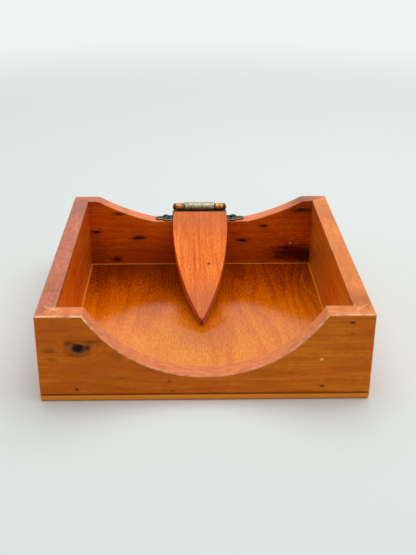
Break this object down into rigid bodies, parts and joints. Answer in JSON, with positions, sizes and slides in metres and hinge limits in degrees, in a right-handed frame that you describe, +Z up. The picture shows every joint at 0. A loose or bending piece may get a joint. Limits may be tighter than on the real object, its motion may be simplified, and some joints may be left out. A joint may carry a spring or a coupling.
{
  "type": "napkin holder",
  "caption": "Open square wooden napkin tray with scooped front and back walls and a pointed hinged leaf that holds the napkins down.",
  "frame": {"origin": "centre of the underside of the tray", "axes": "+Z up; +Y towards the back wall that carries the hinge; +X to the right seen from the front"},
  "size_m": [0.19, 0.1996, 0.055],
  "materials": {
    "pine_walls": "stained orange pine, satin varnish",
    "pine_bottom": "stained orange pine board, glossy varnish",
    "pine_leaf": "stained pine, satin varnish",
    "dark_bronze": "blackened bronze plate on stamped steel",
    "antique_copper": "antique copper plate with dark recesses",
    "antique_brass": "antique brass, dull greenish grey",
    "steel_pin": "plain drawn steel",
    "steel_brads": "plain steel brads, dulled"
  },
  "bodies": {
    "tray": {"front_wall": "pine_walls", "back_wall": "pine_walls", "left_wall": "pine_walls", "right_wall": "pine_walls", "bottom_board": "pine_bottom", "hinge_frame_wing": "dark_bronze", "hinge_pin": "steel_pin", "pin_tip_left": "antique_copper", "pin_tip_right": "antique_copper", "frame_screw_left": "dark_bronze", "frame_screw_right": "dark_bronze", "corner_brads": "steel_brads", "bottom_brads": "steel_brads"},
    "leaf": {"pressure_leaf": "pine_leaf", "hinge_leaf_wing": "antique_brass", "leaf_screw_left": "antique_brass", "leaf_screw_right": "antique_brass"}
  },
  "joints": [
    {"name": "leaf_hinge", "type": "hinge", "parent": "tray", "child": "leaf", "pos_m": [-0.0008, 0.098, 0.04619], "axis": [-1, 0, 0], "range_deg": [0, 219]}
  ]
}
